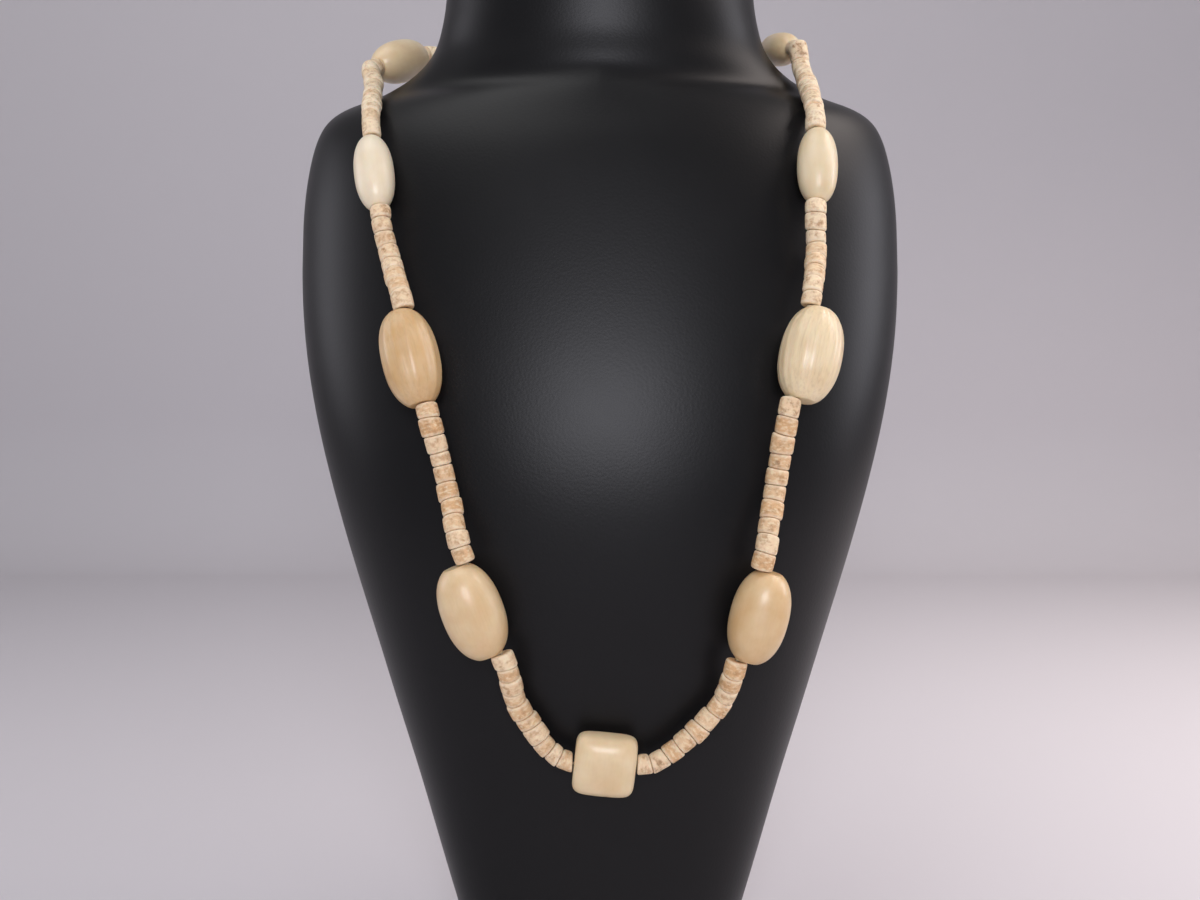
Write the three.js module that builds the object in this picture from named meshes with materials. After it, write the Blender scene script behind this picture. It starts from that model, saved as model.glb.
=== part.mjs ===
// A long necklace of polished bone ovals and rough-cut bone discs on a black display bust.
// Millimetres, +Z up. The origin is the middle of the bust's foot, and the bust faces -Y.

import * as THREE from "three";

// Display bust: a plain padded form with a flat foot and a neck that is cut off level
const bustHeight = 390;
const shoulderWidth = 231;
const bustDepth = 131;
const bustSides = 36;

// Beads: turned ovals in four sizes, sawn discs, and one squared bead at the middle of the front
const lowerOvalLength = 32;
const lowerOvalWidth = 20.8;
const middleOvalLength = 34.2;
const middleOvalWidth = 21.4;
const slimOvalLength = 29.3;
const slimOvalWidth = 14.8;
const napeOvalLength = 31;
const napeOvalWidth = 17;
const squareBeadLength = 20.6;
const squareBeadHeight = 21.4;
const squareBeadDepth = 14;
const squareBeadTilt = 4;
const squareBeadRound = 3;
const discWidth = 7.8;
const discLength = 5.4;

// Discs are sawn and drilled by hand, so each differs a little from its neighbours. Spreads are
// shares of the size that they vary.
const discLengthSpread = 0.16;
const discWidthSpread = 0.06;
const discShift = 0.25;
const discTilt = 3;
const kerfWidth = 0.7;
const kerfDepth = 1;

// What the beads are strung on and closed with
const boreDiameter = 1.9;
const threadDiameter = 1;
const threadEndGap = 2;
const claspLength = 14;
const claspWidth = 6;

// Air between two pieces that touch, and between two neighbours on the string
const seatGap = 0.3;
const beadGap = 0.5;

// The left side's discs are numbered on from here, so that they differ from the right side's
const firstLeftDisc = 100;

// How finely the round pieces are cut into flats
const ovalSides = 14;
const discSides = 10;
const squareBeadSides = 16;
const claspSides = 12;
const threadSides = 5;

const BONE = { color: 0xe2cda4, roughness: 0.3, metalness: 0 };
const PALE_BONE = { color: 0xf0e6d2, roughness: 0.35, metalness: 0 };
const SAWN_BONE = { color: 0xdfc096, roughness: 0.75, metalness: 0 };
const BLACK_PADDING = { color: 0x1d1d1f, roughness: 0.5, metalness: 0 };
const COTTON = { color: 0xcbbb9d, roughness: 0.9, metalness: 0 };
const BRASS = { color: 0xb28f4c, roughness: 0.35, metalness: 1 };

// Level sections of the bust, from the foot up. up is a share of bustHeight and wide a share of
// shoulderWidth. chest, side and nape are where the front, the widest line and the back lie, as
// shares of bustDepth behind the middle of the foot. round is 2 for an ellipse and more for a box.
const BUST_SECTIONS = [
  { up: 0, wide: 0.403, chest: -0.275, side: 0.023, nape: 0.275, round: 2.6 },
  { up: 0.051, wide: 0.459, chest: -0.29, side: 0.038, nape: 0.275, round: 2.6 },
  { up: 0.115, wide: 0.524, chest: -0.305, side: 0.053, nape: 0.275, round: 2.55 },
  { up: 0.185, wide: 0.593, chest: -0.321, side: 0.069, nape: 0.275, round: 2.5 },
  { up: 0.251, wide: 0.662, chest: -0.344, side: 0.084, nape: 0.279, round: 2.45 },
  { up: 0.321, wide: 0.736, chest: -0.366, side: 0.107, nape: 0.286, round: 2.4 },
  { up: 0.39, wide: 0.81, chest: -0.382, side: 0.13, nape: 0.305, round: 2.35 },
  { up: 0.459, wide: 0.879, chest: -0.382, side: 0.153, nape: 0.328, round: 2.3 },
  { up: 0.528, wide: 0.939, chest: -0.355, side: 0.183, nape: 0.359, round: 2.25 },
  { up: 0.6, wide: 0.983, chest: -0.302, side: 0.221, nape: 0.389, round: 2.2 },
  { up: 0.669, wide: 1, chest: -0.237, side: 0.252, nape: 0.427, round: 2.15 },
  { up: 0.731, wide: 0.997, chest: -0.172, side: 0.275, nape: 0.466, round: 2.1 },
  { up: 0.774, wide: 0.98, chest: -0.122, side: 0.29, nape: 0.496, round: 2 },
  { up: 0.8, wide: 0.957, chest: -0.084, side: 0.298, nape: 0.515, round: 1.9 },
  { up: 0.818, wide: 0.922, chest: -0.057, side: 0.305, nape: 0.531, round: 1.75 },
  { up: 0.831, wide: 0.861, chest: -0.038, side: 0.317, nape: 0.542, round: 1.6 },
  { up: 0.841, wide: 0.779, chest: -0.023, side: 0.328, nape: 0.55, round: 1.5 },
  { up: 0.853, wide: 0.697, chest: -0.008, side: 0.336, nape: 0.561, round: 1.6 },
  { up: 0.867, wide: 0.628, chest: 0, side: 0.344, nape: 0.573, round: 1.75 },
  { up: 0.887, wide: 0.571, chest: 0.011, side: 0.351, nape: 0.588, round: 1.9 },
  { up: 0.913, wide: 0.541, chest: 0.015, side: 0.359, nape: 0.603, round: 2 },
  { up: 0.949, wide: 0.524, chest: 0.019, side: 0.366, nape: 0.618, round: 2 },
  { up: 0.99, wide: 0.518, chest: 0.019, side: 0.366, nape: 0.618, round: 2 },
  { up: 1, wide: 0.498, chest: 0.038, side: 0.366, nape: 0.599, round: 2 },
];

// The oval beads from the middle up, the same on both sides
const OVALS = [
  { name: "oval_1", length: lowerOvalLength, width: lowerOvalWidth, finish: BONE },
  { name: "oval_2", length: middleOvalLength, width: middleOvalWidth, finish: BONE },
  { name: "oval_3", length: slimOvalLength, width: slimOvalWidth, finish: PALE_BONE },
  { name: "oval_4", length: napeOvalLength, width: napeOvalWidth, finish: BONE },
];

// Where a bead or a point of the string lies: turn is degrees from the front round its own side of
// the bust, and up is a share of bustHeight. slant is how far a bead's hole leans to the back from
// straight up the bust, and rise how far its upper end stands off. air is the space under it beyond
// seatGap, as a share of discWidth, and aside is how far towards the front its hole is drilled off
// the middle, as a share of its width. long and wide are shares of the size listed for its pair.
const CENTRE_SEAT = { turn: 0.5, up: 0.2376, slant: 92 };
const CLASP_SEAT = { turn: 180, up: 0.911, slant: 90, air: 0.115 };
const OVAL_SEATS = {
  right: [
    { turn: 26.6, up: 0.369, slant: 12.5, aside: 0.19, long: 0.955, wide: 0.955 },
    { turn: 31.9, up: 0.5833, slant: 17.8, aside: 0.185, long: 0.94, wide: 1 },
    { turn: 39.2, up: 0.7486, slant: 12.1, aside: 0.05, long: 0.97, wide: 0.98 },
    { turn: 100, up: 0.892, slant: 82, rise: 12, air: 0.35, long: 0.9, wide: 0.78 },
  ],
  left: [
    { turn: 19.3, up: 0.3771, slant: 20.1, aside: 0.19, long: 0.98, wide: 1 },
    { turn: 29.1, up: 0.5792, slant: 19.2, aside: 0.084, long: 0.96, wide: 0.93 },
    { turn: 40.9, up: 0.7427, slant: 18.8, aside: 0.05, long: 0.99, wide: 0.97 },
    { turn: 103, up: 0.8654, slant: 80, rise: 19, air: 0.846, long: 1, wide: 1 },
  ],
};

// The runs of discs from the middle up: how thick a disc is and how far the run keeps straight as it
// leaves its lower bead, both as shares of discLength, and the chosen points that it passes
const RUNS = {
  right: [
    {
      thick: 1,
      straight: 0.6,
      points: [{ turn: 17.5, up: 0.259, air: 0.333 }, { turn: 24.8, up: 0.2933, air: 0.308 }],
    },
    {
      thick: 1.04,
      straight: 1,
      points: [{ turn: 30, up: 0.4741, air: 0.295 }],
    },
    {
      thick: 0.96,
      straight: 1,
      points: [{ turn: 37.4, up: 0.6741, air: 0.231 }],
    },
    {
      thick: 1,
      straight: 1,
      points: [{ turn: 52.7, up: 0.8277, air: 0.038 }, { turn: 74.9, up: 0.8583, air: 0.295 }],
    },
    {
      thick: 1,
      straight: 1,
      points: [{ turn: 138, up: 0.905, air: 0.795 }],
    },
  ],
  left: [
    {
      thick: 0.9,
      straight: 0.35,
      points: [{ turn: 9, up: 0.2514, air: 0.346 }, { turn: 14.7, up: 0.2884, air: 0.308 }],
    },
    {
      thick: 1,
      straight: 1,
      points: [{ turn: 25.1, up: 0.4755, air: 0.295 }],
    },
    {
      thick: 1,
      straight: 1,
      points: [{ turn: 35.9, up: 0.6686, air: 0.231 }],
    },
    {
      thick: 1,
      straight: 1,
      points: [{ turn: 55.2, up: 0.8212, air: 0.038 }, { turn: 70, up: 0.8385, air: 0.167 }],
    },
    {
      thick: 1,
      straight: 1,
      points: [{ turn: 138, up: 0.905, air: 0.923 }],
    },
  ],
};

// Outline of an oval bead: along is a share of half its length and out a share of half its width
const OVAL_OUTLINE = [
  { along: -1, out: 0.5 },
  { along: -0.94, out: 0.59 },
  { along: -0.8, out: 0.74 },
  { along: -0.56, out: 0.89 },
  { along: -0.28, out: 0.98 },
  { along: 0, out: 1 },
  { along: 0.28, out: 0.98 },
  { along: 0.56, out: 0.89 },
  { along: 0.8, out: 0.74 },
  { along: 0.94, out: 0.59 },
  { along: 1, out: 0.5 },
];

// Outline of the squared bead along the string: high and deep are shares of its full height and
// depth. Each section across it is a softer square, of squareBeadRound.
const SQUARE_OUTLINE = [
  { along: -1, high: 0.76, deep: 0.45 },
  { along: -0.94, high: 0.88, deep: 0.6 },
  { along: -0.78, high: 0.96, deep: 0.79 },
  { along: -0.3, high: 1, deep: 0.98 },
  { along: 0.3, high: 1, deep: 0.98 },
  { along: 0.78, high: 0.96, deep: 0.79 },
  { along: 0.94, high: 0.88, deep: 0.6 },
  { along: 1, high: 0.76, deep: 0.45 },
];

const CLASP_OUTLINE = [
  { along: -1, out: 0.6 },
  { along: -0.8, out: 0.85 },
  { along: -0.65, out: 1 },
  { along: 0.65, out: 1 },
  { along: 0.8, out: 0.85 },
  { along: 1, out: 0.6 },
];

// A closed skin over rings of points that all run the same way round. A looped skin joins its last
// ring to its first, as a bead with a hole through it does. Any other is capped at both ends.
function skin(rings, looped) {
  const sides = rings[0].length;
  const corners = rings.flat();
  const faces = [];
  const bands = looped ? rings.length : rings.length - 1;
  for (let band = 0; band < bands; band += 1) {
    const near = band * sides;
    const far = ((band + 1) % rings.length) * sides;
    for (let side = 0; side < sides; side += 1) {
      const next = (side + 1) % sides;
      faces.push(near + side, near + next, far + next);
      faces.push(near + side, far + next, far + side);
    }
  }
  if (!looped) {
    const last = (rings.length - 1) * sides;
    for (let side = 1; side < sides - 1; side += 1) {
      faces.push(0, side + 1, side);
      faces.push(last, last + side, last + side + 1);
    }
  }
  const geometry = new THREE.BufferGeometry();
  geometry.setAttribute("position", new THREE.Float32BufferAttribute(corners.flatMap((p) => p.toArray()), 3));
  geometry.setIndex(faces);
  return geometry;
}

function finished(name, geometry, finish) {
  const flatShaded = geometry.toNonIndexed();
  flatShaded.computeVertexNormals();
  const mesh = new THREE.Mesh(flatShaded, new THREE.MeshStandardMaterial(finish));
  mesh.name = name;
  return mesh;
}

// The level section of the bust at a share of its height, between the two listed ones around it
function bustSection(up) {
  const above = Math.max(1, BUST_SECTIONS.findIndex((section) => section.up >= up));
  const low = BUST_SECTIONS[above - 1];
  const high = BUST_SECTIONS[above];
  const share = (up - low.up) / (high.up - low.up);
  const between = (column) => THREE.MathUtils.lerp(low[column], high[column], share);
  return {
    halfWidth: between("wide") * shoulderWidth / 2,
    chest: between("chest") * bustDepth,
    side: between("side") * bustDepth,
    nape: between("nape") * bustDepth,
    round: between("round"),
  };
}

// The point of the bust's skin at a turn from the front and a share of its height
function bustPoint(turn, up) {
  const section = bustSection(up);
  const angle = THREE.MathUtils.degToRad(turn);
  const sideways = Math.sin(angle);
  const forwards = Math.cos(angle);
  const depth = forwards > 0 ? section.side - section.chest : section.nape - section.side;
  const x = section.halfWidth * Math.sign(sideways) * Math.abs(sideways) ** (2 / section.round);
  const y = section.side - depth * Math.sign(forwards) * Math.abs(forwards) ** (2 / section.round);
  return new THREE.Vector3(x, y, up * bustHeight);
}

function bustOutward(turn, up) {
  const turnStep = 1.7;
  const upStep = 0.0077;
  const around = bustPoint(turn + turnStep, up).sub(bustPoint(turn - turnStep, up));
  const upwards = bustPoint(turn, Math.min(1, up + upStep)).sub(bustPoint(turn, up - upStep));
  return around.cross(upwards).normalize();
}

function neckBust() {
  const rings = BUST_SECTIONS.map(({ up }) =>
    Array.from({ length: bustSides }, (_, side) => bustPoint((side * 360) / bustSides, up)));
  return finished("neck_bust", skin(rings, false), BLACK_PADDING);
}

// The place of a bead or a point of the string on one side of the bust. way is the drilled way, up
// its own side, start and end are where its hole opens, and body is the middle of its outside.
function seat({ turn, up, slant = 0, rise = 0, air = 0, aside = 0 }, side, length, width) {
  const sign = side === "left" ? -1 : 1;
  const out = bustOutward(sign * turn, up);
  const middle = bustPoint(sign * turn, up).addScaledVector(out, width / 2 + seatGap + air * discWidth);
  const upwards = new THREE.Vector3(0, 0, 1).addScaledVector(out, -out.z).normalize();
  const way = upwards.applyAxisAngle(out, -sign * THREE.MathUtils.degToRad(slant));
  const across = way.clone().cross(out);
  way.applyAxisAngle(across, THREE.MathUtils.degToRad(rise));
  out.applyAxisAngle(across, THREE.MathUtils.degToRad(rise));
  const start = middle.clone().addScaledVector(way, -length / 2);
  const end = middle.clone().addScaledVector(way, length / 2);
  const body = middle.clone().addScaledVector(across, sign * aside * width);
  return { middle, way, out, across, start, end, body, width };
}

// The frame of a bead whose hole opens at two points of the string. out points away from the bust.
function beadFrame(start, end) {
  const middle = start.clone().lerp(end, 0.5);
  const way = end.clone().sub(start).normalize();
  const away = new THREE.Vector3(middle.x, middle.y - bustSection(middle.z / bustHeight).side, 0);
  const out = away.addScaledVector(way, -away.dot(way)).normalize();
  const across = way.clone().cross(out);
  return { middle, way, out, across, start, end };
}

// One ring square to a bead's drilled way. halfOut and halfAcross are its half widths, and round
// is 2 for an ellipse and more for a box.
function beadRing(frame, centre, halfOut, halfAcross, sides, round = 2) {
  return Array.from({ length: sides }, (_, side) => {
    const angle = (2 * Math.PI * (side + 0.5)) / sides;
    const out = Math.sign(Math.cos(angle)) * Math.abs(Math.cos(angle)) ** (2 / round);
    const across = Math.sign(Math.sin(angle)) * Math.abs(Math.sin(angle)) ** (2 / round);
    return centre.clone()
      .addScaledVector(frame.out, halfOut * out)
      .addScaledVector(frame.across, halfAcross * across);
  });
}

function boreRing(frame, centre, sides) {
  return beadRing(frame, centre, boreDiameter / 2, boreDiameter / 2, sides);
}

// A turned bead with a hole through it, which need not be drilled through its middle
function turnedBead(name, frame, outline, sides, finish) {
  const half = frame.start.distanceTo(frame.end) / 2;
  const rings = outline.map(({ along, out }) => {
    const centre = frame.body.clone().addScaledVector(frame.way, along * half);
    const radius = (frame.width / 2) * out;
    return beadRing(frame, centre, radius, radius, sides);
  });
  rings.push(boreRing(frame, frame.end, sides), boreRing(frame, frame.start, sides));
  return finished(name, skin(rings, true), finish);
}

// The squared bead is drilled a little askew, so its sides lie at squareBeadTilt to the string
function squaredBead(name, frame) {
  const tilt = THREE.MathUtils.degToRad(-squareBeadTilt);
  const body = {
    way: frame.way.clone().applyAxisAngle(frame.out, tilt),
    out: frame.out,
    across: frame.across.clone().applyAxisAngle(frame.out, tilt),
  };
  const rings = SQUARE_OUTLINE.map(({ along, high, deep }) => {
    const centre = frame.middle.clone().addScaledVector(body.way, (along * squareBeadLength) / 2);
    const halfOut = (squareBeadDepth / 2) * deep;
    const halfAcross = (squareBeadHeight / 2) * high;
    return beadRing(body, centre, halfOut, halfAcross, squareBeadSides, squareBeadRound);
  });
  rings.push(boreRing(frame, frame.end, squareBeadSides), boreRing(frame, frame.start, squareBeadSides));
  return finished(name, skin(rings, true), BONE);
}

// The uses of unevenness in a disc
const UNEVEN = { length: 1, width: 2, tilt: 3, shift: 4 };

// A number from -1 to 1 that differs for each disc and each use, always the same for the same disc
function unevenness(disc, use) {
  const discStep = 12.9898;
  const useStep = 78.233;
  const tumbling = 43758.5453;
  const tumbled = Math.sin(disc * discStep + use * useStep) * tumbling;
  return 2 * (tumbled - Math.floor(tumbled)) - 1;
}

// The points of the string where a run's discs meet. The run leaves one bead and enters the next
// along their drilled ways, and its discs fill the stretch between them.
function discFaces(from, to, run, side, firstDisc) {
  const leave = from.end.clone().addScaledVector(from.way, beadGap);
  const enter = to.start.clone().addScaledVector(to.way, -beadGap);
  const curve = new THREE.CatmullRomCurve3([
    leave,
    leave.clone().addScaledVector(from.way, discLength * run.straight),
    ...run.points.map((place) => seat(place, side, 0, discWidth).middle),
    enter.clone().addScaledVector(to.way, -discLength),
    enter,
  ], false, "centripetal");
  const count = Math.max(1, Math.round(curve.getLength() / (discLength * run.thick)));
  const lengths = Array.from({ length: count }, (_, disc) =>
    1 + discLengthSpread * unevenness(firstDisc + disc, UNEVEN.length));
  const whole = lengths.reduce((sum, length) => sum + length, 0);
  let reached = 0;
  const faces = lengths.map((length) => {
    reached += length;
    return curve.getPointAt(Math.min(1, reached / whole));
  });
  return [leave, ...faces];
}

// What the plane of each joint faces: along the drilled way of the bead at either end of a run, and
// elsewhere along the string, tilted a little as the saw left it
function jointFacings(faces, from, to, firstDisc) {
  return faces.map((_, joint) => {
    if (joint === 0) return from.way;
    if (joint === faces.length - 1) return to.way;
    const { way, out } = beadFrame(faces[joint - 1], faces[joint + 1]);
    const tilt = discTilt * unevenness(firstDisc + joint, UNEVEN.tilt);
    return way.applyAxisAngle(out, THREE.MathUtils.degToRad(tilt));
  });
}

// A ring slid along a disc's way until it lies in the plane of a joint
function slidTo(joint, facing, way, ring) {
  return ring.map((point) =>
    point.clone().addScaledVector(way, joint.clone().sub(point).dot(facing) / way.dot(facing)));
}

// A run of sawn discs that hang together: each is full width between two narrow saw kerfs
function discRun(name, faces, facings, firstDisc) {
  const kerf = discWidth / 2 - kerfDepth;
  const outer = [];
  const inner = [];
  faces.slice(0, -1).forEach((start, disc) => {
    const end = faces[disc + 1];
    const frame = beadFrame(start, end);
    const uneven = (use) => unevenness(firstDisc + disc, use);
    const radius = (discWidth / 2) * (1 + discWidthSpread * uneven(UNEVEN.width));
    const shift = frame.across.clone().multiplyScalar(discShift * uneven(UNEVEN.shift));
    const ringAt = (joint, facing, halfWidth, along, aside) => {
      const ring = beadRing(frame, joint.clone().add(aside), halfWidth, halfWidth, discSides);
      return slidTo(joint.clone().addScaledVector(frame.way, along), facing, frame.way, ring);
    };
    const none = new THREE.Vector3();
    outer.push(ringAt(start, facings[disc], kerf, 0, none));
    outer.push(ringAt(start, facings[disc], radius, kerfWidth / 2, shift));
    outer.push(ringAt(end, facings[disc + 1], radius, -kerfWidth / 2, shift));
    inner.unshift(ringAt(start, facings[disc], boreDiameter / 2, 0, none));
    if (disc === faces.length - 2) {
      outer.push(ringAt(end, facings[disc + 1], kerf, 0, none));
      inner.unshift(ringAt(end, facings[disc + 1], boreDiameter / 2, 0, none));
    }
  });
  return finished(name, skin([...outer, ...inner], true), SAWN_BONE);
}

// Everything strung between the squared bead and the clasp on one side. Returns the pieces and the
// points at which the string bends between them, from the squared bead up.
function strungSide(side, firstDisc, centre, clasp) {
  const seats = OVALS.map(({ length, width }, order) => {
    const place = OVAL_SEATS[side][order];
    return seat(place, side, length * place.long, width * place.wide);
  });
  const strung = [centre, ...seats, clasp];
  const pieces = OVALS.map(({ name, finish }, order) =>
    turnedBead(`${side}_${name}`, seats[order], OVAL_OUTLINE, ovalSides, finish));
  const bends = [];
  let disc = firstDisc;
  RUNS[side].forEach((run, order) => {
    const faces = discFaces(strung[order], strung[order + 1], run, side, disc);
    const facings = jointFacings(faces, strung[order], strung[order + 1], disc);
    pieces.push(discRun(`${side}_run_${order + 1}`, faces, facings, disc));
    bends.push(strung[order].end, ...faces, strung[order + 1].start);
    disc += faces.length;
  });
  return { pieces, bends };
}

// The same bead seen from its other end
function reversed(frame) {
  const way = frame.way.clone().negate();
  return { ...frame, way, across: frame.across.clone().negate(), start: frame.end, end: frame.start };
}

// The thread runs straight through each bead and bends between them. Its ends are in the clasp.
function thread(bends) {
  const rings = bends.map((point, order) => {
    const before = bends[Math.max(0, order - 1)];
    const after = bends[Math.min(bends.length - 1, order + 1)];
    return beadRing(beadFrame(before, after), point, threadDiameter / 2, threadDiameter / 2, threadSides);
  });
  return finished("thread", skin(rings, false), COTTON);
}

function necklace() {
  const centre = seat(CENTRE_SEAT, "right", squareBeadLength, squareBeadDepth);
  const clasp = seat(CLASP_SEAT, "right", claspLength, claspWidth);
  const right = strungSide("right", 0, centre, clasp);
  const left = strungSide("left", firstLeftDisc, reversed(centre), reversed(clasp));
  const threadEnd = (sign) => clasp.middle.clone().addScaledVector(clasp.way, (sign * threadEndGap) / 2);
  return [
    squaredBead("centre_bead", centre),
    ...right.pieces,
    ...left.pieces,
    turnedBead("clasp", clasp, CLASP_OUTLINE, claspSides, BRASS),
    thread([threadEnd(1), ...left.bends.toReversed(), ...right.bends, threadEnd(-1)]),
  ];
}

const part = new THREE.Group();
part.name = "beaded_necklace_on_neck_bust";
part.add(neckBust(), ...necklace());

export default part;
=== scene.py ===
# A long necklace of polished bone ovals and sawn bone discs, worn by a black display bust.
# Sizes are in millimetres in the tables and formulas, and turn to metres where a mesh is made.

import bpy
import numpy as np
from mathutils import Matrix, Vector


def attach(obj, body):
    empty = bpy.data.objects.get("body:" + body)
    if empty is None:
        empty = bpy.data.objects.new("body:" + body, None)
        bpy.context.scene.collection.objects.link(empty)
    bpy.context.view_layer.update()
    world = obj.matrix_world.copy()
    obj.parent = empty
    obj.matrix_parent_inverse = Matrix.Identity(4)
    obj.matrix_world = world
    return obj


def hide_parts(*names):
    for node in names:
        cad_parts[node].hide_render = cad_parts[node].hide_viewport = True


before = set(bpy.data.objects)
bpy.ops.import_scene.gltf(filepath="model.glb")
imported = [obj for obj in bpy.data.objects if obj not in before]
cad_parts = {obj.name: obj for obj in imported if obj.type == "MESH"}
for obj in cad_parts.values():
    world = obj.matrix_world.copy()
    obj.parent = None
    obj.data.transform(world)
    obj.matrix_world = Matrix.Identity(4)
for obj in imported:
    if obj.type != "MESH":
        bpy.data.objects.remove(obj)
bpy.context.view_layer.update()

scene = bpy.context.scene


# Camera
# A hand camera held close in front of the bust, level with its chest and tipped a little down.
CAMERA_PLACE = (0, -0.445, 0.232)
CAMERA_PITCH = np.radians(85)
LENS = 36.15
SENSOR_WIDTH = 36
NEAREST_SEEN = 0.01

camera = bpy.data.objects.new("camera", bpy.data.cameras.new("camera"))
camera.location = CAMERA_PLACE
camera.rotation_euler = (CAMERA_PITCH, 0, 0)
camera.data.lens = LENS
camera.data.sensor_width = SENSOR_WIDTH
camera.data.clip_start = NEAREST_SEEN
scene.collection.objects.link(camera)
scene.camera = camera
scene.view_settings.view_transform = "Standard"


# Floor and backdrop
# One sheet of pale matt paper that lies under the bust and sweeps up behind it in a soft curve.
SWEEP_FRONT = -1600
SWEEP_BACK = 900
SWEEP_TOP = 1500
SWEEP_HALF_WIDTH = 2200
SWEEP_BEND = 150
SWEEP_ROWS = 40
PAPER_COLOUR = "#d6d2d5"
PAPER_TOOTH = 1.2
PAPER_RELIEF = 0.2
PAPER_ROUGHNESS = 0.9


def linear(hex_colour):
    """The linear RGBA of an sRGB hex colour: each share below 0.04045 is divided by 12.92, and any
    other is ((share + 0.055) / 1.055) to the power 2.4."""
    shares = np.array([int(hex_colour[at:at + 2], 16) for at in (1, 3, 5)]) / 255
    values = np.where(shares < 0.04045, shares / 12.92, ((shares + 0.055) / 1.055) ** 2.4)
    return (*values.tolist(), 1)


def add_node(tree, kind, inputs=None, **settings):
    """Add a shader node. settings are its own properties. inputs gives its sockets by name or
    number, each as a plain value or as the output that is linked to it."""
    added = tree.nodes.new(kind)
    for name, value in settings.items():
        setattr(added, name, value)
    for socket, value in (inputs or {}).items():
        if isinstance(value, bpy.types.NodeSocket):
            tree.links.new(value, added.inputs[socket])
        else:
            added.inputs[socket].default_value = value
    return added


def new_material(name):
    """An empty node material. Returns it and its node tree."""
    material = bpy.data.materials.new(name)
    material.use_nodes = True
    material.node_tree.nodes.clear()
    return material, material.node_tree


def attribute(tree, title, output="Fac"):
    """The output of a node that reads an attribute of the mesh."""
    return add_node(tree, "ShaderNodeAttribute", attribute_name=title).outputs[output]


def noise(tree, place, scale, detail, roughness=0.5):
    """The output of a node that gives soft patches from 0 to 1, scale of them to a unit of place."""
    inputs = {"Vector": place, "Scale": scale, "Detail": detail, "Roughness": roughness}
    return add_node(tree, "ShaderNodeTexNoise", inputs).outputs["Fac"]


def reckoned(tree, operation, first, second):
    """The output of a node that adds or multiplies two values."""
    return add_node(tree, "ShaderNodeMath", {0: first, 1: second}, operation=operation).outputs["Value"]


def blended(tree, share, first, second):
    """The output of a node that mixes two colours by a share of the second."""
    return add_node(tree, "ShaderNodeMix", {0: share, 6: first, 7: second}, data_type="RGBA").outputs[2]


def ranged(tree, value, **limits):
    """The output of a node that maps a value from one range to another, from_min to from_max and
    to_min to to_max, each 0 to 1 unless it is given. It is held at the ends of the new range."""
    inputs = {limit.replace("_", " ").title(): number for limit, number in limits.items()}
    return add_node(tree, "ShaderNodeMapRange", {"Value": value, **inputs}).outputs["Result"]


def relief(tree, height, strength, depth):
    """The normal of a surface that a height pattern raises by up to depth, in millimetres."""
    inputs = {"Height": height, "Strength": strength, "Distance": depth / 1000}
    return add_node(tree, "ShaderNodeBump", inputs).outputs["Normal"]


def shade(tree, inputs):
    """Close a material with its one shader."""
    shader = add_node(tree, "ShaderNodeBsdfPrincipled", inputs)
    add_node(tree, "ShaderNodeOutputMaterial", {"Surface": shader.outputs["BSDF"]})


def surface_object(name, shells, material, attributes=None, around=True, looped=False, capped=False):
    """A mesh over grids of points, all shells of one shape: rows run along a shell and columns round
    it. Four neighbours in a grid make a face. around joins the last column to the first, looped the
    last row to the first, and capped closes each end with a fan to the middle of its row. The sum of
    a . (b x c) over all triangles is six times the volume, and where it is negative the faces turn."""
    count, rows, columns = shells.shape[:3]
    points = shells.reshape(-1, 3)
    corner = np.arange(rows * columns).reshape(rows, columns)
    if looped:
        corner = np.vstack([corner, corner[:1]])
    if around:
        corner = np.hstack([corner, corner[:, :1]])
    quads = np.stack([corner[:-1, :-1], corner[:-1, 1:], corner[1:, 1:], corner[1:, :-1]], axis=-1)
    quads = quads.reshape(1, -1, 4) + rows * columns * np.arange(count).reshape(-1, 1, 1)
    quads = quads.reshape(-1, 4)
    fans = np.empty((0, 3), dtype=int)
    if capped:
        first = np.full(columns, len(points))
        ends = shells[0, [0, -1]].mean(axis=1)
        points = np.vstack([points, ends])
        fans = np.vstack([
            np.stack([first, corner[0, 1:], corner[0, :-1]], axis=-1),
            np.stack([first + 1, corner[-1, :-1], corner[-1, 1:]], axis=-1),
        ])
    triangles = np.vstack([quads[:, [0, 1, 2]], quads[:, [0, 2, 3]], fans])
    a, b, c = (points[triangles[:, side]] for side in range(3))
    if np.einsum("ij,ij->", a, np.cross(b, c)) < 0:
        quads, fans = quads[:, ::-1], fans[:, ::-1]
    mesh = bpy.data.meshes.new(name)
    mesh.from_pydata((points / 1000).tolist(), [], quads.tolist() + fans.tolist())
    for title, values in (attributes or {}).items():
        kind, field = ("FLOAT", "value") if values.ndim == 3 else ("FLOAT_VECTOR", "vector")
        values = np.append(values, values[0, [0, -1], :1] if capped else [])
        mesh.attributes.new(title, kind, "POINT").data.foreach_set(field, values)
    mesh.shade_smooth()
    mesh.materials.append(material)
    made = bpy.data.objects.new(name, mesh)
    scene.collection.objects.link(made)
    return made


def matt_paper():
    """Uncoated paper: fully rough, with a tooth of short fibres too small to catch the light."""
    material, tree = new_material("uncoated_paper")
    place = add_node(tree, "ShaderNodeTexCoord").outputs["Object"]
    tooth = noise(tree, place, 1000 / PAPER_TOOTH, 3)
    shade(tree, {
        "Base Color": linear(PAPER_COLOUR),
        "Roughness": PAPER_ROUGHNESS,
        "Specular IOR Level": 0.2,
        "Normal": relief(tree, tooth, 0.1, PAPER_RELIEF),
    })
    return material


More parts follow.
